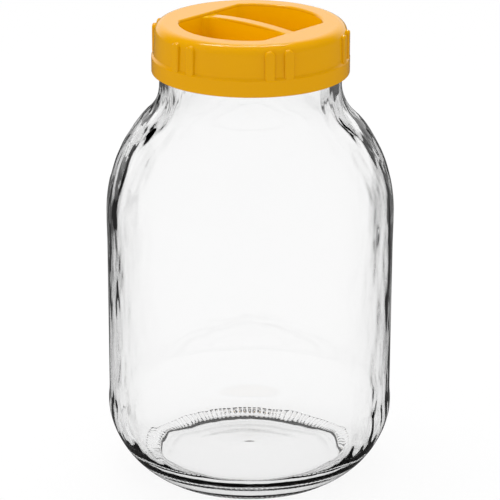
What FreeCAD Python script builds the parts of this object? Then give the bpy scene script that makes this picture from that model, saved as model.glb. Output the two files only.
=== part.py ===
import FreeCAD, Part
import math
import os
import re
import Sketcher

# Three-litre wide-mouth jar of clear glass with a moulded twist-off lid.
# Frame: +Z up, origin at the centre of the foot ring, front of the jar at -Y.
# Both pieces are turned about Z. The lid carries a deep grip recess with a bar across it.

# name: (millimetres, degrees or a count, what it is)
DRIVING = {
    # glass, outside
    "foot_radius": (52.0, "outer edge of the foot ring"),
    "heel_joint_radius": (75.5, "where the two heel arcs meet"),
    "heel_joint_height": (32.0, "where the two heel arcs meet"),
    "heel_low_arc": (46.1, "radius of the lower heel arc"),
    "heel_top_arc": (25.2, "radius of the upper heel arc"),
    "heel_radius": (75.95, "widest point, the lower contact band"),
    "heel_height": (36.7, "start of the lower contact band"),
    "heel_band": (3.0, "height of the lower contact band"),
    "body_radius": (75.5, "straight wall, just inside both contact bands"),
    "body_low": (46.0, "start of the straight wall"),
    "body_high": (128.0, "end of the straight wall"),
    "shoulder_radius": (75.7, "upper contact band"),
    "shoulder_band_height": (138.0, "start of the upper contact band"),
    "shoulder_height": (144.6, "where the shoulder starts to turn in"),
    "shoulder_arc": (74.5, "radius of the shoulder"),
    "shoulder_joint_radius": (53.92, "where the shoulder turns into the neck"),
    "shoulder_joint_height": (197.2, "where the shoulder turns into the neck"),
    "neck_arc": (23.5, "radius of the hollow curve under the neck"),
    "neck_radius": (47.45, "straight neck and finish"),
    "neck_height": (213.8, "start of the straight neck"),
    "rim_height": (244.2, "top of the glass"),
    "rim_round": (1.7, "rounding of both rim edges"),
    # glass, inside
    "floor_centre": (9.0, "inside floor at the axis"),
    "floor_edge": (6.4, "inside floor where the heel starts"),
    "floor_radius": (40.3, "edge of the inside floor"),
    "inside_heel_arc": (32.0, "inside heel"),
    "inside_radius": (72.2, "inside of the straight wall"),
    "inside_heel_height": (38.4, "top of the inside heel"),
    "inside_shoulder_arc": (71.3, "inside of the shoulder"),
    "inside_joint_radius": (51.38, "inside shoulder turns into the inside neck"),
    "inside_joint_height": (195.0, "inside shoulder turns into the inside neck"),
    "inside_neck_arc": (28.2, "inside curve under the neck"),
    "mouth_radius": (43.15, "bore of the mouth"),
    "mouth_height": (215.0, "start of the straight mouth"),
    # glass, underside
    "push_up": (4.0, "rise of the underside at the axis"),
    "disc_radius": (27.5, "raised round mark in the push-up"),
    "disc_rise": (3.6, "underside at the rim of the round mark"),
    "disc_foot": (2.8, "underside just outside the round mark"),
    "disc_step": (1.0, "width of the step round the mark"),
    "push_edge": (46.5, "outer edge of the push-up"),
    "push_edge_rise": (1.0, "underside at that edge"),
    "foot_inner": (48.0, "inner edge of the foot ring"),
    # closure
    "starts": (6, "thread ridges, lugs and rib groups round the lid"),
    "ridge_low": (225.2, "underside of a thread ridge"),
    "ridge_high": (228.2, "top of a thread ridge"),
    "ridge_depth": (1.25, "how far a ridge stands out of the neck"),
    "ridge_sweep": (42.0, "angle that one ridge covers"),
    "lug_low": (221.2, "underside of a lid lug"),
    "lug_high": (224.8, "top of a lid lug"),
    "lug_radius": (47.9, "inner face of a lug"),
    "lug_sweep": (15.0, "angle that one lug covers"),
    # lid, outside
    "lid_low": (220.0, "lower edge of the skirt"),
    "total_height": (246.0, "top of the lid"),
    "band_radius": (51.4, "thicker band round the foot of the skirt"),
    "band_high": (228.4, "top of the band"),
    "wall_radius": (50.2, "skirt above the band"),
    "wall_low": (229.6, "foot of the skirt's plain wall"),
    "wall_top_radius": (49.6, "skirt at the top, drafted"),
    "crown_round": (5.0, "rounding between skirt and top"),
    "soft_edge": (0.6, "small rounding of the band"),
    # lid, inside
    "skirt_inside": (49.7, "inside of the band"),
    "skirt_inside_high": (228.2, "where the inside steps in"),
    "wall_inside": (48.4, "inside of the skirt above the step"),
    "wall_inside_low": (229.2, "top of that step"),
    "wall_inside_top": (48.0, "inside of the skirt at the top"),
    "plate": (1.8, "thickness of top, cup wall and cup floor"),
    # lid, grip recess
    "bar_angle": (-41.0, "bar's direction from +X"),
    "recess_radius": (37.0, "round wall of the recess"),
    "recess_flat": (28.5, "flat end walls, either side of the axis"),
    "recess_depth": (18.0, "recess floor below the top"),
    "bar_width": (6.6, "grip bar"),
    "bar_dip": (1.5, "how much lower the bar's ends are than its arched middle"),
    "bar_edge": (0.9, "rounding along the top of the bar"),
    "flare_round": (5.0, "corner between bar and end wall"),
    "corner_round": (4.0, "corner between end wall and round wall"),
    "recess_edge": (1.4, "rounding round the mouth of the recess"),
    "floor_round": (1.2, "corner between recess walls and floor"),
    # lid, grip ribs
    "rib_centre": (16.9, "middle of a rib group, from the front"),
    "rib_offset": (5.75, "each rib, either side of its group's middle"),
    "rib_width": (5.6, "width of a rib at its root"),
    "rib_low": (227.2, "lower end of a rib at its root"),
    "rib_high": (243.6, "upper end of a rib at its root"),
    "rib_root": (49.0, "where a rib starts, inside the wall"),
    "rib_face": (51.25, "outer face of a rib"),
    "rib_taper": (8.0, "slope of a rib's sides"),
    "rib_edge": (0.45, "depth of the chamfer round the face of a rib"),
    "rib_chamfer": (45.0, "slope of that chamfer"),
}


CLEAR = 2.0          # how far a cutting outline runs past the solid that it cuts
NEAR = 0.02          # tolerance when an edge is found by its place

doc = FreeCAD.newDocument("jar")


def make_sheet():
    """Spreadsheet with one aliased cell for every driving size."""
    sheet = doc.addObject("Spreadsheet::Sheet", "sizes")
    for row, (alias, (number, note)) in enumerate(DRIVING.items(), start=1):
        sheet.set(f"A{row}", alias)
        sheet.set(f"B{row}", str(number))
        sheet.set(f"C{row}", note)
        sheet.setAlias(f"B{row}", alias)
    doc.recompute()
    return sheet


sizes = make_sheet()


def on_sheet(expression):
    """Expression with every alias in it written as a cell of the sheet."""
    def cell(word):
        return f"sizes.{word[0]}" if word[0] in DRIVING else word[0]
    return re.sub(r"[a-z_]+", cell, expression)


def value(expression):
    """Number that an expression gives."""
    found = sizes.evalExpression(expression)
    return float(getattr(found, "Value", found))


def bind(item, **expressions):
    """Bind properties of an object to the sheet."""
    for name, expression in expressions.items():
        item.setExpression(name, on_sheet(expression))


def origin_feature(body, role):
    """Plane or axis of a body's own origin."""
    return next(item for item in body.Origin.OriginFeatures if item.Role == role)


def new_body(label):
    body = doc.addObject("PartDesign::Body", label)
    body.Label = label
    return body


def new_sketch(body, name, role):
    """Empty sketch on one of the body's origin planes."""
    sketch = body.newObject("Sketcher::SketchObject", name)
    sketch.AttachmentSupport = [(origin_feature(body, role), "")]
    sketch.MapMode = "FlatFace"
    return sketch


def arc_between(start, end, radius, bulge):
    """Arc between two points that bulges to the right (+1) or left (-1) of the way there."""
    chord = end - start
    right = FreeCAD.Vector(chord.y, -chord.x, 0).normalize()
    reach = math.sqrt(max(radius**2 - (chord.Length / 2) ** 2, 0))
    middle = (start + end) / 2 + right * bulge * (radius - reach)
    return Part.Arc(start, middle, end)


def outline(sketch, *corners):
    """Closed outline through corners given as (across, up) or (across, up, radius, bulge).

    across, up and radius are expressions on the sheet, and each becomes a named constraint.
    A radius belongs to the arc that leads to its corner, and other corners are reached by lines.
    """
    points = [FreeCAD.Vector(value(corner[0]), value(corner[1]), 0) for corner in corners]
    lanes = []
    for index, corner in enumerate(corners):
        start, end = points[index - 1], points[index]
        if len(corner) == 2:
            edge = Part.LineSegment(start, end)
        else:
            edge = arc_between(start, end, value(corner[2]), corner[3])
        number = sketch.addGeometry(edge)
        forward = (sketch.getPoint(number, 1) - start).Length < (sketch.getPoint(number, 2) - start).Length
        lanes.append((number, 1, 2) if forward else (number, 2, 1))
    for index, corner in enumerate(corners):
        number, _, far = lanes[index]
        following, near, _ = lanes[(index + 1) % len(lanes)]
        sketch.addConstraint(Sketcher.Constraint("Coincident", number, far, following, near))
        pin(sketch, f"across_{number}", corner[0], "DistanceX", -1, 1, number, far)
        pin(sketch, f"up_{number}", corner[1], "DistanceY", -1, 1, number, far)
        if len(corner) == 4:
            pin(sketch, f"radius_{number}", corner[2], "Radius", number)


def pin(sketch, name, expression, kind, *where):
    """One dimension of a sketch, bound to the sheet."""
    number = sketch.addConstraint(Sketcher.Constraint(kind, *where, value(expression)))
    sketch.renameConstraint(number, name)
    sketch.setExpression(f"Constraints.{name}", on_sheet(expression))


def turned(body, kind, name, *corners, sweep=None):
    """Revolution or Groove of an outline about Z, all round or over a sweep centred on +X."""
    sketch = new_sketch(body, f"{name}_outline", "XZ_Plane")
    outline(sketch, *corners)
    feature = body.newObject(f"PartDesign::{kind}", name)
    feature.Profile = sketch
    feature.ReferenceAxis = (sketch, ["V_Axis"])
    feature.Angle = 360
    if sweep:
        feature.Midplane = True
        bind(feature, Angle=sweep)
    doc.recompute()
    return feature


def repeated(body, name, features):
    """The features repeated round Z, once for every start."""
    pattern = body.newObject("PartDesign::PolarPattern", name)
    pattern.Originals = features
    pattern.Axis = (origin_feature(body, "Z_Axis"), [""])
    pattern.Angle = 360
    pattern.Refine = False
    bind(pattern, Occurrences="starts")
    body.Tip = pattern
    doc.recompute()
    return pattern


def rounded(body, name, radius, belongs):
    """Fillet on every edge of the body's last feature for which belongs(edge) is true."""
    base = body.Tip
    names = [f"Edge{number}" for number, edge in enumerate(base.Shape.Edges, start=1) if belongs(edge)]
    if not names:
        raise RuntimeError(f"{name}: no edge found")
    fillet = body.newObject("PartDesign::Fillet", name)
    fillet.Base = (base, names)
    bind(fillet, Radius=radius)
    doc.recompute()
    return fillet


def ring_at(edge, radius, height):
    """True for a full or part circle about Z."""
    curve = edge.Curve
    if not isinstance(curve, Part.Circle) or abs(curve.Center.x) > NEAR or abs(curve.Center.y) > NEAR:
        return False
    return abs(curve.Radius - radius) < NEAR and abs(curve.Center.z - height) < NEAR


def level_at(edge, height):
    """True for an edge that lies all at one height."""
    box = edge.BoundBox
    return abs(box.ZMin - height) < NEAR and abs(box.ZMax - height) < NEAR


# ---- glass jar -----------------------------------------------------------------------------

def make_glass():
    """Turned jar: heel, two contact bands, shoulder, neck, open mouth, push-up, thread ridges."""
    glass = new_body("glass_jar")
    turned(glass, "Revolution", "outside",
           ("0", "0"),
           ("foot_radius", "0"),
           ("heel_joint_radius", "heel_joint_height", "heel_low_arc", 1),
           ("heel_radius", "heel_height", "heel_top_arc", 1),
           ("heel_radius", "heel_height + heel_band"),
           ("body_radius", "body_low"),
           ("body_radius", "body_high"),
           ("shoulder_radius", "shoulder_band_height"),
           ("shoulder_radius", "shoulder_height"),
           ("shoulder_joint_radius", "shoulder_joint_height", "shoulder_arc", 1),
           ("neck_radius", "neck_height", "neck_arc", -1),
           ("neck_radius", "rim_height"),
           ("0", "rim_height"))
    turned(glass, "Groove", "inside",
           ("0", "floor_centre"),
           ("floor_radius", "floor_edge"),
           ("inside_radius", "inside_heel_height", "inside_heel_arc", 1),
           ("inside_radius", "shoulder_height"),
           ("inside_joint_radius", "inside_joint_height", "inside_shoulder_arc", 1),
           ("mouth_radius", "mouth_height", "inside_neck_arc", -1),
           ("mouth_radius", f"rim_height + {CLEAR}"),
           ("0", f"rim_height + {CLEAR}"))
    turned(glass, "Groove", "underside",
           ("0", f"-{CLEAR}"),
           ("foot_inner", f"-{CLEAR}"),
           ("foot_inner", "0"),
           ("push_edge", "push_edge_rise"),
           ("disc_radius + disc_step", "disc_foot"),
           ("disc_radius", "disc_rise"),
           ("0", "push_up"))
    rim_edges = [(value("neck_radius"), value("rim_height")),
                 (value("mouth_radius"), value("rim_height"))]
    rounded(glass, "rim", "rim_round", lambda edge: any(ring_at(edge, *place) for place in rim_edges))
    ridge = turned(glass, "Revolution", "thread_ridge",
                   ("neck_radius - ridge_depth", "ridge_low"),
                   ("neck_radius", "ridge_low"),
                   ("neck_radius + ridge_depth", "ridge_low + ridge_depth / 2"),
                   ("neck_radius + ridge_depth", "ridge_high - ridge_depth"),
                   ("neck_radius", "ridge_high"),
                   ("neck_radius - ridge_depth", "ridge_high"),
                   sweep="ridge_sweep")
    repeated(glass, "thread_ridges", [ridge])
    return glass


# ---- lid -----------------------------------------------------------------------------------

def plan_sketch(body, name, height):
    """Sketch that looks down, with its first axis along the grip bar."""
    sketch = new_sketch(body, name, "XY_Plane")
    bind(sketch, **{"AttachmentOffset.Base.z": height, "AttachmentOffset.Rotation.Angle": "bar_angle"})
    return sketch


def upright_sketch(body, name, angle):
    """Sketch on an upright plane through the axis, turned by an angle from the front."""
    sketch = new_sketch(body, name, "XZ_Plane")
    upright = FreeCAD.Vector(0, 1, 0)
    sketch.AttachmentOffset = FreeCAD.Placement(FreeCAD.Vector(), FreeCAD.Rotation(upright, value(angle)))
    bind(sketch, **{"AttachmentOffset.Rotation.Angle": angle})
    return sketch


def cut_down(body, name, sketch, depth):
    """Pocket from a plan sketch downwards, which has to take material away."""
    before = body.Tip.Shape.Volume
    pocket = body.newObject("PartDesign::Pocket", name)
    pocket.Profile = sketch
    bind(pocket, Length=depth)
    doc.recompute()
    if pocket.Shape.Volume > before - 1:
        raise RuntimeError(f"{name} cuts nothing")
    return pocket


def along_bar(point):
    """Distances of a point along the grip bar and across it."""
    turn = math.radians(value("bar_angle"))
    along = point.x * math.cos(turn) + point.y * math.sin(turn)
    across = point.y * math.cos(turn) - point.x * math.sin(turn)
    return abs(along), abs(across)


def upright_at(edge, along, across):
    """True for a vertical edge at these distances along and across the bar."""
    if len(edge.Vertexes) != 2 or not isinstance(edge.Curve, Part.Line):
        return False
    low, high = (vertex.Point for vertex in edge.Vertexes)
    if abs(low.z - high.z) < 1 or math.hypot(low.x - high.x, low.y - high.y) > NEAR:
        return False
    here = along_bar(low)
    return abs(here[0] - along) < NEAR and abs(here[1] - across) < NEAR


def make_recess(lid):
    """Grip recess: a cup hung under the top, cut out on both sides of a bar that is hollow below."""
    wall_arc = "recess_radius + plate"
    cup_flat = "recess_flat + plate"
    cup_side = f"sqrt(({wall_arc}) ^ 2 - ({cup_flat}) ^ 2)"
    cup_plan = plan_sketch(lid, "cup_plan", "total_height")
    outline(cup_plan,
            (f"-({cup_flat})", f"-{cup_side}"),
            (cup_flat, f"-{cup_side}", wall_arc, 1),
            (cup_flat, cup_side),
            (f"-({cup_flat})", cup_side, wall_arc, 1))
    cup = lid.newObject("PartDesign::Pad", "cup")
    cup.Profile = cup_plan
    cup.Reversed = True
    bind(cup, Length="recess_depth + plate")
    doc.recompute()

    side = "sqrt(recess_radius ^ 2 - recess_flat ^ 2)"
    recess_plan = plan_sketch(lid, "recess_plan", "total_height")
    outline(recess_plan,
            ("-recess_flat", f"-{side}"),
            ("recess_flat", f"-{side}", "recess_radius", 1),
            ("recess_flat", side),
            ("-recess_flat", side, "recess_radius", 1))
    cut_down(lid, "recess", recess_plan, "recess_depth")
    flat, bar_side, round_side = value("recess_flat"), value("bar_width") / 2, value(side)
    top, floor = value("total_height"), value("total_height - recess_depth")
    rounded(lid, "recess_corners", "corner_round", lambda edge: upright_at(edge, flat, round_side))
    widest = value("recess_radius") + NEAR
    rounded(lid, "recess_edges", "recess_edge",
            lambda edge: level_at(edge, top) and edge.BoundBox.XMax < widest)
    add_bar(lid)
    rounded(lid, "bar_edges", "bar_edge", lambda edge: along_top(edge, bar_side))
    rounded(lid, "floor_corners", "floor_round",
            lambda edge: level_at(edge, floor) and edge.BoundBox.XMax < widest)

    slot_plan = plan_sketch(lid, "slot_plan", "total_height - bar_dip - plate")
    half_slot = "(bar_width / 2 - plate)"
    outline(slot_plan,
            ("-recess_flat", f"-{half_slot}"),
            ("recess_flat", f"-{half_slot}"),
            ("recess_flat", half_slot),
            ("-recess_flat", half_slot))
    cut_down(lid, "hollow_under_bar", slot_plan, f"recess_depth + {CLEAR}")


def along_top(edge, bar_side):
    """True for an edge along one side of the bar's arched top, its flares included."""
    first, last = edge.FirstParameter, edge.LastParameter
    places = [edge.valueAt(first), edge.valueAt((first + last) / 2), edge.valueAt(last)]
    if min(place.z for place in places) < value("total_height - bar_dip") - 0.3:
        return False
    along, across = zip(*(along_bar(place) for place in places))
    if max(along) > value("recess_flat") + NEAR or min(across) < bar_side - NEAR:
        return False
    return max(across) < bar_side + value("flare_round") + NEAR and min(along) < value("recess_flat") - NEAR


def add_bar(lid):
    """Web across the recess, flared at its ends, whose arched top is level with the lid at its middle."""
    bar_plan = plan_sketch(lid, "bar_plan", "total_height")
    side, wide = "(bar_width / 2)", "(bar_width / 2 + flare_round / 2)"
    straight = "(recess_flat - flare_round * sqrt(3) / 2)"
    outline(bar_plan,
            ("-recess_flat", f"-{wide}"),
            (f"-{straight}", f"-{side}", "flare_round", -1),
            (straight, f"-{side}"),
            ("recess_flat", f"-{wide}", "flare_round", -1),
            ("recess_flat", wide),
            (straight, side, "flare_round", -1),
            (f"-{straight}", side),
            ("-recess_flat", wide, "flare_round", -1))
    bar = lid.newObject("PartDesign::Pad", "bar")
    bar.Profile = bar_plan
    bar.Reversed = True
    bind(bar, Length="recess_depth + plate / 2")
    doc.recompute()

    arch = upright_sketch(lid, "arch", "bar_angle")
    arch_radius = "(recess_flat ^ 2 + bar_dip ^ 2) / (2 * bar_dip)"
    outline(arch,
            ("-recess_flat", f"total_height + {CLEAR}"),
            ("-recess_flat", "total_height - bar_dip"),
            ("recess_flat", "total_height - bar_dip", arch_radius, -1),
            ("recess_flat", f"total_height + {CLEAR}"))
    over = lid.newObject("PartDesign::Pocket", "over_bar")
    over.Profile = arch
    over.Midplane = True
    bind(over, Length=f"2 * {wide} + {CLEAR}")
    doc.recompute()


def rib_pad(lid, name, angle, start, half, length, taper):
    """Upright pad with round ends whose outline lies at a distance from the axis."""
    sketch = upright_sketch(lid, f"{name}_outline", angle)
    bind(sketch, **{"AttachmentOffset.Base.x": f"{start} * sin({angle})",
                    "AttachmentOffset.Base.z": f"{start} * cos({angle})"})
    low, high = "(rib_low + rib_width / 2)", "(rib_high - rib_width / 2)"
    outline(sketch,
            (half, low, half, 1),
            (half, high),
            ("0", f"{high} + {half}", half, 1),
            (f"-{half}", high, half, 1),
            (f"-{half}", low),
            ("0", f"{low} - {half}", half, 1))
    pad = lid.newObject("PartDesign::Pad", name)
    pad.Profile = sketch
    pad.Refine = False
    bind(pad, Length=length, TaperAngle=f"-{taper}")
    doc.recompute()
    return pad


def rib(lid, name, angle):
    """One upright grip rib, its middle at an angle from the front: a pad and a chamfered face."""
    step = "(rib_face - rib_edge)"
    foot = rib_pad(lid, f"{name}_foot", angle, "rib_root", "(rib_width / 2)",
                   f"{step} - rib_root", "rib_taper")
    half = f"(rib_width / 2 - ({step} - rib_root) * tan(rib_taper))"
    face = rib_pad(lid, f"{name}_face", angle, step, half, "rib_edge", "rib_chamfer")
    return [foot, face]


def make_lid():
    """Moulded lid: banded skirt, lugs inside, flat top round a recess with a bar, grip ribs."""
    lid = new_body("lid")
    turned(lid, "Revolution", "skirt",
           ("0", "lid_low"),
           ("band_radius", "lid_low"),
           ("band_radius", "band_high"),
           ("wall_radius", "wall_low"),
           ("wall_top_radius", "total_height"),
           ("0", "total_height"))
    turned(lid, "Groove", "hollow",
           ("0", f"lid_low - {CLEAR}"),
           ("skirt_inside", f"lid_low - {CLEAR}"),
           ("skirt_inside", "skirt_inside_high"),
           ("wall_inside", "wall_inside_low"),
           ("wall_inside_top", "total_height - plate"),
           ("0", "total_height - plate"))
    rounded(lid, "crown", "crown_round",
            lambda edge: ring_at(edge, value("wall_top_radius"), value("total_height")))
    band_edges = [(value("band_radius"), value("lid_low")),
                  (value("band_radius"), value("band_high")),
                  (value("wall_radius"), value("wall_low"))]
    rounded(lid, "band_edges", "soft_edge",
            lambda edge: any(ring_at(edge, *place) for place in band_edges))
    left_rib = rib(lid, "left_rib", "(rib_centre - rib_offset)")
    right_rib = rib(lid, "right_rib", "(rib_centre + rib_offset)")
    repeated(lid, "grip_ribs", left_rib + right_rib)
    make_recess(lid)
    lug = turned(lid, "Revolution", "lug",
                 ("skirt_inside + plate / 4", "lug_low"),
                 ("skirt_inside + plate / 4", "lug_high"),
                 ("lug_radius", "lug_high"),
                 ("lug_radius", "lug_low + (lug_high - lug_low) / 2"),
                 sweep="lug_sweep")
    repeated(lid, "lugs", [lug])
    return lid


# ---- check and write -----------------------------------------------------------------------

def check_document():
    """Stop if any object failed."""
    for item in doc.Objects:
        bad = {"Invalid", "Error"} & set(item.State)
        if bad:
            raise RuntimeError(f"{item.Name}: {sorted(bad)}")


def write_step(body):
    """Write one sub-part to parts/LABEL.step."""
    shape = body.Shape
    if shape.isNull() or not shape.isValid() or len(shape.Solids) != 1:
        raise RuntimeError(f"{body.Label} is not one valid solid")
    shape.exportStep(f"parts/{body.Label}.step")
    box = shape.BoundBox
    print(f"{body.Label}: {shape.Volume / 1000:.1f} cm3, X {box.XMin:.2f} to {box.XMax:.2f},"
          f" Z {box.ZMin:.2f} to {box.ZMax:.2f}")


bodies = [make_glass(), make_lid()]
doc.recompute()
check_document()
os.makedirs("parts", exist_ok=True)
for made in bodies:
    write_step(made)
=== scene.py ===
"""Clear glass jar with a yellow plastic twist-off lid, built round the packed frame."""

import math

import bpy
from bpy.props import FloatProperty, FloatVectorProperty, IntProperty, PointerProperty
from mathutils import Euler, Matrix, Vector


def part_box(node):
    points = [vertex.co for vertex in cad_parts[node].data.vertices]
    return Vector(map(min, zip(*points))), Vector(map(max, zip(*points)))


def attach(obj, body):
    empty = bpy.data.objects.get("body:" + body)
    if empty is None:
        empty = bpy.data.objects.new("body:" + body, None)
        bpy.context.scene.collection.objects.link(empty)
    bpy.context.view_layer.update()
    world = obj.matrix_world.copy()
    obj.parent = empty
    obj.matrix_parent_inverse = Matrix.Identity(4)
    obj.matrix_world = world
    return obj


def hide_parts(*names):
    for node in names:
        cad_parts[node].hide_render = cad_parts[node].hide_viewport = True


bl_info = {
    "name": "Twist-off jar",
    "version": (1, 0, 0),
    "blender": (4, 5, 0),
    "location": "3D View > Sidebar > Jar",
    "description": "Clear glass jar with a yellow plastic twist-off lid",
    "category": "Add Mesh",
}

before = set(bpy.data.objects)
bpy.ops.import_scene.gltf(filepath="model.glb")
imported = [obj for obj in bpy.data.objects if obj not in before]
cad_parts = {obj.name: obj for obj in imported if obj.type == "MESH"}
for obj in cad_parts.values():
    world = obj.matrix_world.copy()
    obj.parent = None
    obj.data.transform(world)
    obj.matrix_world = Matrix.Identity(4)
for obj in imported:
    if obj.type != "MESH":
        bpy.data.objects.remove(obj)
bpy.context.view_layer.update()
_, glass_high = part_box("glass_jar")
_, lid_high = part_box("lid")

MM = 0.001                     # outlines are written in millimetres
WELD = 0.000002                # points closer than this are one
WIDEST_TURN = math.radians(7)  # half of the most that an arc turns from point to point
SMOOTH_BELOW = math.radians(30)

# The inside of the glass wanders from WAVES_FULL up to WAVES_FADE. It is even below and above.
WAVES_START, WAVES_FULL = 12 * MM, 30 * MM
WAVES_FADE, WAVES_END = 212 * MM, 226 * MM
SEAM_START, SEAM_FULL = 0.45, 0.95        # how far a place faces the side, from 0 to 1
WAVE_STRETCH, SEAM_STRETCH = 1.6, 2.6     # how much taller than broad one wave is

KNURL_START, KNURL_END = 0.6 * MM, 5.4 * MM    # grooves, out from the foot ring
KNURL_TOP = 5 * MM                             # all points above are inside the jar
KNURL_STEPS = 3                                # steps from one tick to the next

ONE_OR_MORE = 0.5      # a count of bounces above this isn't 0
MIDDLE = 0.5           # mean value of a noise and of a wave
SIDE_SLOPE = 0.3       # how far back the dark patches start for each metre aside
SIDE_CONTRAST = 4.0    # how sharply they start
PATCH_CONTRAST = 8.0   # how sharply white changes into dark
PATCH_LIGHT = 0.7      # share of white between two patches
BACK_START = 0.5       # where the white behind the jar starts in the lid's reflections
BACK_CONTRAST = 3.0    # how sharply it starts
GLOSS_CHANGE = 0.08    # how far the plastic's roughness goes up and down

WHITE = (1, 1, 1, 1)
MATT_WHITE = (0.9, 0.9, 0.9, 1)
FLOOR_SIZE = 60
FILM_WIDTH = 36        # of the camera, in millimetres
LAMPS = [
    # name, place, size, watts, mirrored in the lid
    ("lamp_top", (-0.15, 0.35, 1.25), (0.9, 0.03), 5, True),
    ("lamp_left", (-1.0, -0.5, 0.8), (0.4, 0.9), 1, False),
]


# ---- sizes and finishes --------------------------------------------------------------------

class JarSizes(bpy.types.PropertyGroup):
    """Sizes of the glass jar."""

    segments: IntProperty(
        name="Segments", description="Steps round the jar", default=384, min=48)
    spacing: FloatProperty(
        name="Ring spacing", description="Height of one ring of faces on the walls",
        default=2.6 * MM, unit="LENGTH")
    foot_radius: FloatProperty(
        name="Foot radius", description="Outer edge of the foot ring",
        default=52 * MM, unit="LENGTH")
    body_radius: FloatProperty(
        name="Body radius", description="Straight wall, outside",
        default=75.5 * MM, unit="LENGTH")
    inside_radius: FloatProperty(
        name="Inside radius", description="Straight wall, inside",
        default=72.2 * MM, unit="LENGTH")
    neck_radius: FloatProperty(
        name="Neck radius", description="Straight neck, outside",
        default=47.45 * MM, unit="LENGTH")
    mouth_radius: FloatProperty(
        name="Mouth radius", description="Bore of the mouth",
        default=43.15 * MM, unit="LENGTH")
    wave_depth: FloatProperty(
        name="Wave depth", description="How far the inside of the glass wanders",
        default=0.35 * MM, unit="LENGTH")
    wave_size: FloatProperty(
        name="Wave size", description="Breadth of one wave in the glass",
        default=24 * MM, unit="LENGTH")
    seam_depth: FloatProperty(
        name="Seam wave depth", description="Extra wander near the two mould seams",
        default=1.05 * MM, unit="LENGTH")
    seam_size: FloatProperty(
        name="Seam wave size", description="Breadth of one wave near the seams",
        default=13 * MM, unit="LENGTH")
    tick_depth: FloatProperty(
        name="Knurl depth", description="Depth of the grooves outside the foot ring",
        default=1.3 * MM, unit="LENGTH")


class GlassFinish(bpy.types.PropertyGroup):
    """Finish of the clear glass."""

    tint: FloatVectorProperty(
        name="Tint", description="Colour of the glass surface",
        default=(1.0, 1.0, 1.0), min=0, max=1, subtype="COLOR")
    depth_tint: FloatVectorProperty(
        name="Depth tint", description="Colour that thick glass turns",
        default=(0.42, 0.44, 0.44), min=0, max=1, subtype="COLOR")
    density: FloatProperty(
        name="Density", description="Absorption per metre of glass", default=3.5, min=0)
    ior: FloatProperty(
        name="Refraction", description="Index of refraction", default=1.5, min=1, max=2)


class PlasticFinish(bpy.types.PropertyGroup):
    """Finish of the lid's plastic."""

    color: FloatVectorProperty(
        name="Colour", description="Moulded colour of the lid",
        default=(0.77, 0.37, 0.0), min=0, max=1, subtype="COLOR")
    flow_color: FloatVectorProperty(
        name="Flow colour", description="Colour in the faint flow clouds",
        default=(0.73, 0.335, 0.0), min=0, max=1, subtype="COLOR")
    # The next three set painted light: the recess walls below the rounded edge take a lighter,
    # yellower colour that stands in for light coming through their thin walls and bouncing inside
    # the recess.
    recess_painted_light: FloatVectorProperty(
        name="Recess colour", description="Colour of the recess's thin walls",
        default=(0.88, 0.49, 0.0), min=0, max=1, subtype="COLOR")
    painted_light_radius: FloatProperty(
        name="Recess radius", description="Where the recess's colour starts",
        default=37.1 * MM, unit="LENGTH")
    painted_light_edge: FloatProperty(
        name="Recess edge", description="Rounding above the recess's colour",
        default=1.4 * MM, unit="LENGTH")
    roughness: FloatProperty(
        name="Roughness", description="Gloss of the moulded face",
        default=0.14, min=0, max=1)


class StageSettings(bpy.types.PropertyGroup):
    """Camera, lamps and white surroundings."""

    distance: FloatProperty(
        name="Camera distance", description="From the camera to the aim point on the axis",
        default=1.380, unit="LENGTH")
    pitch: FloatProperty(
        name="Camera pitch", description="How far the camera looks down",
        default=math.radians(19.7), subtype="ANGLE")
    roll: FloatProperty(
        name="Camera roll", description="Lean of the camera to its left",
        default=math.radians(0.19), subtype="ANGLE")
    aim_height: FloatProperty(
        name="Aim height", description="Height on the axis that the camera faces",
        default=0.1211, unit="LENGTH")
    lens: FloatProperty(
        name="Lens", description="Focal length in millimetres", default=187.2)
    ambient: FloatProperty(
        name="Ambient", description="World light that falls on the jar", default=0.95, min=0)
    floor_dimming: FloatProperty(
        name="Floor dimming", description="What is left of white in dark patches of the floor",
        default=0.0, min=0, max=1)
    room_dimming: FloatProperty(
        name="Room dimming", description="The same above the floor",
        default=0.85, min=0, max=1)
    patch_reach: FloatProperty(
        name="Patch reach", description="How far out light shows between dark patches",
        default=0.58, unit="LENGTH")
    patch_scale: FloatProperty(
        name="Patch scale", description="Dark patches in a metre", default=3.3, min=0)
    shadow: FloatProperty(
        name="Shadow", description="Share of the floor's own shading that shows",
        default=0.1, min=0, max=1)


# ---- material sheets -----------------------------------------------------------------------

class Wire:
    """A node's output, which can be used in sums."""

    def __init__(self, sheet, socket):
        self.sheet = sheet
        self.socket = socket

    def sum(self, operation, first, second):
        return self.sheet.add("ShaderNodeMath", {"operation": operation}, {0: first, 1: second})

    def __add__(self, other):
        return self.sum("ADD", self, other)

    __radd__ = __add__

    def __sub__(self, other):
        return self.sum("SUBTRACT", self, other)

    def __rsub__(self, other):
        return self.sum("SUBTRACT", other, self)

    def __mul__(self, other):
        return self.sum("MULTIPLY", self, other)

    __rmul__ = __mul__

    def __gt__(self, other):
        return self.sum("GREATER_THAN", self, other)

    def __lt__(self, other):
        return self.sum("LESS_THAN", self, other)

    def __abs__(self):
        return self.sheet.add("ShaderNodeMath", {"operation": "ABSOLUTE"}, {0: self})

    def clamped(self, factor):
        """This times the factor, kept between 0 and 1."""
        return self.sheet.add("ShaderNodeMath", {"operation": "MULTIPLY", "use_clamp": True},
                              {0: self, 1: factor})


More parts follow.
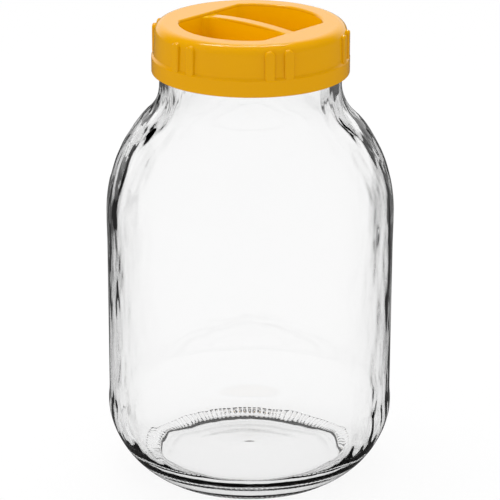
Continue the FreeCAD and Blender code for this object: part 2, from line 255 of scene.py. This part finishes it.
class Sheet:
    """Node tree of one material or world, emptied first."""

    def __init__(self, owner):
        owner.use_nodes = True
        self.tree = owner.node_tree
        self.tree.nodes.clear()

    def add(self, kind, settings=None, sockets=None, out=0):
        """Node of that kind with its settings, and its sockets set or linked. Gives its output."""
        node = self.tree.nodes.new(kind)
        for name, setting in (settings or {}).items():
            setattr(node, name, setting)
        for name, given in (sockets or {}).items():
            if isinstance(given, Wire):
                self.tree.links.new(given.socket, node.inputs[name])
            else:
                node.inputs[name].default_value = given
        return Wire(self, node.outputs[out]) if node.outputs else None

    def axes(self, place):
        """The three parts of a place."""
        return [self.add("ShaderNodeSeparateXYZ", {}, {0: place}, out=axis) for axis in "XYZ"]


def white_seen(sheet, stage, sheen, dimmest):
    """Which rays see the white, and how bright it is for them.

    It is as bright as sheen says after a plain reflection. Light that is reflected inside the
    glass meets dark patches behind the jar, which only the edges of the glass show.
    """
    def path(name):
        return sheet.add("ShaderNodeLightPath", out=name)

    seen = sheet.add("ShaderNodeMath", {"operation": "ADD", "use_clamp": True}, {
        0: path("Is Camera Ray") + path("Is Glossy Ray"), 1: path("Is Transmission Ray")})
    bounced = path("Glossy Depth") > ONE_OR_MORE
    inside = bounced * (path("Transmission Depth") > ONE_OR_MORE)
    place = sheet.add("ShaderNodeTexCoord", out="Object")
    x, y, _ = sheet.axes(place)
    behind = (y - abs(x) * SIDE_SLOPE).clamped(SIDE_CONTRAST)
    clouds = sheet.add("ShaderNodeTexNoise", {}, {
        "Vector": place, "Scale": stage.patch_scale, "Detail": 2.0})
    patches = (clouds - MIDDLE).clamped(PATCH_CONTRAST)
    near = x * x + y * y < stage.patch_reach ** 2
    level = dimmest + patches * near * (1 - dimmest) * PATCH_LIGHT
    lost = inside * behind * (1 - level) + (bounced - inside) * (1 - sheen)
    return seen, 1 - lost


def rgba(color):
    """Full colour with nothing clear."""
    return (*color, 1.0)


# ---- modelling helpers ---------------------------------------------------------------------

def between(start, end, radius, bulge, spacing):
    """Points after start on the arc to end, which bulges to its right (+1) or left (-1)."""
    chord = end - start
    right = Vector((chord.y, -chord.x)).normalized()
    half = math.asin(chord.length / 2 / radius)
    centre = (start + end) / 2 - right * bulge * radius * math.cos(half)
    steps = max(2, round(2 * half * radius / spacing), math.ceil(half / WIDEST_TURN))
    spoke = start - centre
    points = []
    for step in range(1, steps + 1):
        turned = 2 * half * step / steps * bulge
        points.append(centre + Vector((spoke.x * math.cos(turned) - spoke.y * math.sin(turned),
                                       spoke.x * math.sin(turned) + spoke.y * math.cos(turned))))
    return points


def outline(corners, spacing):
    """Points, in metres, through corners given in millimetres.

    A corner is (across, up), or (across, up, radius, bulge) at the end of an arc.
    """
    points = [Vector(corners[0])]
    for corner in corners[1:]:
        start, end = points[-1], Vector(corner[:2])
        if len(corner) == 4:
            points += between(start, end, corner[2], corner[3], spacing)
        else:
            steps = max(1, round((end - start).length / spacing))
            points += [start.lerp(end, step / steps) for step in range(1, steps + 1)]
    return [Vector((point.x, 0, point.y)) * MM for point in points]


def draw(name, points):
    """New object with one line of edges, drawn by extruding a point and left in edit mode."""
    bpy.ops.object.select_all(action="DESELECT")
    bpy.ops.mesh.primitive_plane_add(size=2 * MM)
    piece = bpy.context.object
    piece.name = name
    bpy.ops.object.mode_set(mode="EDIT")
    bpy.ops.mesh.select_mode(type="VERT")
    bpy.ops.mesh.merge(type="CENTER")
    bpy.ops.transform.translate(value=points[0])
    for start, end in zip(points, points[1:]):
        bpy.ops.mesh.extrude_region_move(TRANSFORM_OT_translate={"value": end - start})
    return piece


def turn(segments):
    """Spins the line in edit mode round the jar's axis into a closed skin that faces outwards."""
    bpy.ops.mesh.select_all(action="SELECT")
    bpy.ops.mesh.spin(steps=segments, angle=math.tau, center=(0, 0, 0), axis=(0, 0, 1))
    bpy.ops.mesh.select_all(action="SELECT")
    bpy.ops.mesh.remove_doubles(threshold=WELD)
    bpy.ops.mesh.normals_make_consistent(inside=False)


def select_points(piece, wanted):
    """Selects the points whose place passes the test. There has to be one at least."""
    bpy.ops.mesh.select_all(action="DESELECT")
    bpy.ops.object.mode_set(mode="OBJECT")
    points = piece.data.vertices
    for point in points:
        point.select = bool(wanted(point.co))
    found = any(point.select for point in points)
    bpy.ops.object.mode_set(mode="EDIT")
    if not found:
        raise RuntimeError(f"{piece.name}: no point at the wanted place")


def stretch_up(factor):
    """Scales the active piece upwards from its foot."""
    bpy.ops.object.mode_set(mode="EDIT")
    bpy.ops.mesh.select_all(action="SELECT")
    bpy.ops.transform.resize(value=(1, 1, factor), center_override=(0, 0, 0))
    bpy.ops.object.mode_set(mode="OBJECT")


def smooth_step(low, high, amount):
    """0 below low, 1 above high and a smooth change between."""
    part = min(max((amount - low) / (high - low), 0), 1)
    return part * part * (3 - 2 * part)


def make_waves(piece, name, share, depth, size, stretch):
    """Lets the wall wander in slow tall waves, as far as share(place) says from 0 to 1."""
    bpy.ops.object.mode_set(mode="OBJECT")
    zone = piece.vertex_groups.new(name=name)
    for point in piece.data.vertices:
        zone.add([point.index], share(point.co), "REPLACE")
    clouds = bpy.data.textures.new(name, "CLOUDS")
    clouds.noise_scale = size
    clouds.noise_depth = 2
    clouds.noise_basis = "BLENDER_ORIGINAL"
    stretch_up(1 / stretch)
    waves = piece.modifiers.new(name, "DISPLACE")
    waves.texture = clouds
    waves.texture_coords = "LOCAL"
    waves.vertex_group = zone.name
    waves.strength = depth
    waves.mid_level = MIDDLE
    bpy.ops.object.modifier_apply(modifier=waves.name)
    stretch_up(stretch)


def finish_piece(piece, node, material):
    """Smooths a piece, gives it its finish and puts it in a CAD node's place."""
    bpy.ops.object.mode_set(mode="OBJECT")
    bpy.ops.object.select_all(action="DESELECT")
    piece.select_set(True)
    bpy.context.view_layer.objects.active = piece
    bpy.ops.object.shade_smooth_by_angle(angle=SMOOTH_BELOW)
    piece.data.materials.clear()
    piece.data.materials.append(material)
    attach(piece, "root")
    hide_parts(node)


# ---- glass jar -----------------------------------------------------------------------------

def jar_outline(sizes):
    """Section of the glass, from the middle of the underside to the middle of the floor."""
    foot, body, inside = sizes.foot_radius / MM, sizes.body_radius / MM, sizes.inside_radius / MM
    neck, mouth = sizes.neck_radius / MM, sizes.mouth_radius / MM
    rim = glass_high.z / MM
    spacing = sizes.spacing / MM
    return outline([
        # underside
        (0, 4.0),
        (27.0, 2.0),
        (29.3, 1.7),
        (foot - 10.5, 0.8),
        (foot - 0.8, 0.25),
        # foot ring and heel
        (foot - 0.4, 0),
        (foot, 0),
        (foot + 1.0, 0.52),
        (foot + 2.0, 1.12),
        (foot + 3.0, 1.75),
        (foot + 4.0, 2.41),
        (foot + 5.0, 3.11),
        (foot + 6.0, 3.85),
        (body, 32.0, 46.6, 1),
        # lower band, wall and upper band
        (body + 0.45, 36.7, 25.2, 1),
        (body + 0.45, 39.7),
        (body, 46.0, 46, -1),
        (body, 128.0),
        (body + 0.2, 138.0),
        (body + 0.2, 144.6),
        # shoulder and neck
        (53.92, 197.2, 74.5, 1),
        (neck, 213.8, 23.5, -1),
        # rim
        (neck, rim - 1.7),
        (neck - 1.7, rim, 1.7, 1),
        (mouth + 1.7, rim),
        (mouth, rim - 1.7, 1.7, 1),
        # inside of the neck, shoulder and wall
        (mouth, 215.0),
        (51.38, 195.0, 28.2, 1),
        (inside, 144.6, 71.3, -1),
        (inside, 38.4),
        # floor
        (40.3, 6.4, 32.0, -1),
        (0, 9.0),
    ], spacing)


def cut_knurls(piece, sizes):
    """Short grooves in the start of the heel, which leave ticks between them."""
    foot = sizes.foot_radius
    pitch = math.tau / sizes.segments

    def in_groove(place):
        step = round(math.atan2(place.y, place.x) / pitch)
        across = math.hypot(place.x, place.y)
        in_ring = foot + KNURL_START < across < foot + KNURL_END
        return place.z < KNURL_TOP and in_ring and step % KNURL_STEPS

    select_points(piece, in_groove)
    bpy.ops.transform.translate(value=(0, 0, sizes.tick_depth))


def glass_material(finish):
    """Clear smooth glass that greys where it is thick."""
    material = bpy.data.materials.new("clear_glass_finish")
    sheet = Sheet(material)
    place = sheet.add("ShaderNodeTexCoord", out="Object")
    ripple = sheet.add("ShaderNodeTexNoise", {}, {"Vector": place, "Scale": 110.0, "Detail": 1.0})
    relief = sheet.add("ShaderNodeBump", {}, {
        "Strength": 0.08, "Distance": 0.0006, "Height": ripple})
    skin = sheet.add("ShaderNodeBsdfPrincipled", {}, {
        "Base Color": rgba(finish.tint), "Roughness": 0.0, "IOR": finish.ior,
        "Transmission Weight": 1.0, "Normal": relief})
    depth = sheet.add("ShaderNodeVolumeAbsorption", {}, {
        "Color": rgba(finish.depth_tint), "Density": finish.density})
    sheet.add("ShaderNodeOutputMaterial", {}, {"Surface": skin, "Volume": depth})
    return material


class JAR_OT_glass(bpy.types.Operator):
    """Turns the glass jar, knurls its foot and lets its walls wander"""

    bl_idname = "jar.glass"
    bl_label = "Glass jar"

    def execute(self, context):
        sizes = context.scene.jar_sizes
        piece = draw("jar_glass", jar_outline(sizes))
        turn(sizes.segments)
        cut_knurls(piece, sizes)
        inner = (sizes.inside_radius + sizes.body_radius) / 2

        def inside(place):
            across = math.hypot(place.x, place.y)
            low = smooth_step(WAVES_START, WAVES_FULL, place.z)
            high = 1 - smooth_step(WAVES_FADE, WAVES_END, place.z)
            return low * high * (across < inner)

        def seams(place):
            aside = abs(place.x) / math.hypot(place.x, place.y, MM)
            return inside(place) * smooth_step(SEAM_START, SEAM_FULL, aside)

        make_waves(piece, "slow_waves", inside, sizes.wave_depth, sizes.wave_size, WAVE_STRETCH)
        make_waves(piece, "seam_waves", seams, sizes.seam_depth, sizes.seam_size, SEAM_STRETCH)
        finish_piece(piece, "glass_jar", glass_material(context.scene.glass_finish))
        return {"FINISHED"}


# ---- lid -----------------------------------------------------------------------------------

def plastic_material(finish):
    """Glossy moulded plastic with faint flow clouds, an uneven gloss and painted light in the
    recess.
    """
    material = bpy.data.materials.new("yellow_plastic_finish")
    sheet = Sheet(material)
    place = sheet.add("ShaderNodeTexCoord", out="Object")
    clouds = sheet.add("ShaderNodeTexNoise", {}, {"Vector": place, "Scale": 28.0, "Detail": 3.0})
    grain = sheet.add("ShaderNodeTexNoise", {}, {"Vector": place, "Scale": 900.0, "Detail": 2.0})
    moulded = sheet.add("ShaderNodeMix", {"data_type": "RGBA"}, {
        "Factor": clouds, "A": rgba(finish.color), "B": rgba(finish.flow_color)}, out=2)
    x, y, z = sheet.axes(place)
    # Painted light: inside the recess, below its rounded edge, the plastic's colour is swapped for
    # a lighter, yellower one that stands in for light shining through the thin walls and bouncing
    # round the recess.
    within = finish.painted_light_radius ** 2 > x * x + y * y
    below = lid_high.z - finish.painted_light_edge > z
    color = sheet.add("ShaderNodeMix", {"data_type": "RGBA"}, {
        "Factor": within * below, "A": moulded, "B": rgba(finish.recess_painted_light)}, out=2)
    relief = sheet.add("ShaderNodeBump", {}, {
        "Strength": 0.05, "Distance": 0.0002, "Height": grain})
    skin = sheet.add("ShaderNodeBsdfPrincipled", {}, {
        "Base Color": color, "Roughness": finish.roughness + (clouds - MIDDLE) * GLOSS_CHANGE,
        "IOR": 1.45, "Normal": relief})
    sheet.add("ShaderNodeOutputMaterial", {}, {"Surface": skin})
    return material


class JAR_OT_lid(bpy.types.Operator):
    """Gives the lid its glossy yellow plastic"""

    bl_idname = "jar.lid"
    bl_label = "Lid"

    def execute(self, context):
        finish = plastic_material(context.scene.plastic_finish)
        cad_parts["lid"].data.materials[0] = finish
        return {"FINISHED"}


# ---- stage ---------------------------------------------------------------------------------

def floor_material(stage):
    """White floor that keeps some of its own shading and can't be seen from below."""
    material = bpy.data.materials.new("white_floor")
    sheet = Sheet(material)
    seen, level = white_seen(sheet, stage, 0.0, stage.floor_dimming)
    matt = sheet.add("ShaderNodeBsdfDiffuse", {}, {"Color": MATT_WHITE})
    plain = sheet.add("ShaderNodeEmission", {}, {"Color": WHITE, "Strength": level})
    top = sheet.add("ShaderNodeMixShader", {}, {
        0: seen * (1 - stage.shadow), 1: matt, 2: plain})
    clear = sheet.add("ShaderNodeBsdfTransparent")
    below = sheet.add("ShaderNodeNewGeometry", out="Backfacing")
    both = sheet.add("ShaderNodeMixShader", {}, {0: below, 1: top, 2: clear})
    sheet.add("ShaderNodeOutputMaterial", {}, {"Surface": both})
    return material


def light_world(stage):
    """White surroundings in plain view and an even light on the jar."""
    world = bpy.data.worlds.new("white_room")
    bpy.context.scene.world = world
    sheet = Sheet(world)
    _, y, _ = sheet.axes(sheet.add("ShaderNodeTexCoord", out="Object"))
    behind = (y - BACK_START).clamped(BACK_CONTRAST)
    seen, level = white_seen(sheet, stage, behind, stage.room_dimming)
    strength = seen * level + (1 - seen) * stage.ambient
    glow = sheet.add("ShaderNodeBackground", {}, {"Color": WHITE, "Strength": strength})
    sheet.add("ShaderNodeOutputWorld", {}, {"Surface": glow})


def add_lamp(name, place, size, power, mirrored):
    """Soft lamp that faces the lid, mirrored in glossy faces or not."""
    place = Vector(place)
    bpy.ops.object.light_add(type="AREA", location=place)
    lamp = bpy.context.object
    lamp.name = name
    lamp.data.shape = "RECTANGLE"
    lamp.data.size, lamp.data.size_y = size
    lamp.data.energy = power
    lamp.visible_glossy = mirrored
    lamp.visible_transmission = False
    aim = Vector((0, 0, lid_high.z)) - place
    lamp.rotation_euler = aim.to_track_quat("-Z", "Y").to_euler()


class JAR_OT_stage(bpy.types.Operator):
    """Sets up the white floor, the room, the lamps and the camera"""

    bl_idname = "jar.stage"
    bl_label = "Stage"

    def execute(self, context):
        stage = context.scene.stage_settings
        bpy.ops.object.select_all(action="DESELECT")
        bpy.ops.mesh.primitive_plane_add(size=FLOOR_SIZE)
        floor = context.object
        floor.name = "floor"
        floor.data.materials.append(floor_material(stage))
        light_world(stage)
        for lamp in LAMPS:
            add_lamp(*lamp)
        reach = Vector((0, -math.cos(stage.pitch), math.sin(stage.pitch))) * stage.distance
        bpy.ops.object.camera_add(location=Vector((0, 0, stage.aim_height)) + reach)
        camera = context.object
        camera.name = "camera"
        facing = (-reach).to_track_quat("-Z", "Y")
        camera.rotation_euler = (facing @ Euler((0, 0, stage.roll)).to_quaternion()).to_euler()
        camera.data.sensor_width = FILM_WIDTH
        camera.data.lens = stage.lens
        context.scene.camera = camera
        context.scene.view_settings.view_transform = "Standard"
        return {"FINISHED"}


# ---- panel and start -----------------------------------------------------------------------

GROUPS = {
    "jar_sizes": JarSizes,
    "glass_finish": GlassFinish,
    "plastic_finish": PlasticFinish,
    "stage_settings": StageSettings,
}
OPERATORS = [JAR_OT_glass, JAR_OT_lid, JAR_OT_stage]


class JAR_PT_panel(bpy.types.Panel):
    """Lists the jar's pieces"""

    bl_idname = "JAR_PT_panel"
    bl_label = "Twist-off jar"
    bl_space_type = "VIEW_3D"
    bl_region_type = "UI"
    bl_category = "Jar"

    def draw(self, context):
        for operator in OPERATORS:
            self.layout.operator(operator.bl_idname)
        for name, group in GROUPS.items():
            box = self.layout.box()
            box.label(text=group.__doc__)
            for prop in group.__annotations__:
                box.prop(getattr(context.scene, name), prop)


def register():
    for group in GROUPS.values():
        bpy.utils.register_class(group)
    for item in [*OPERATORS, JAR_PT_panel]:
        bpy.utils.register_class(item)
    for name, group in GROUPS.items():
        setattr(bpy.types.Scene, name, PointerProperty(type=group))


def unregister():
    for name in GROUPS:
        delattr(bpy.types.Scene, name)
    for item in reversed([*GROUPS.values(), *OPERATORS, JAR_PT_panel]):
        bpy.utils.unregister_class(item)


def main():
    """Builds the jar, its lid and the stage."""
    register()
    bpy.ops.jar.glass()
    bpy.ops.jar.lid()
    bpy.ops.jar.stage()


if __name__ == "__main__":
    main()
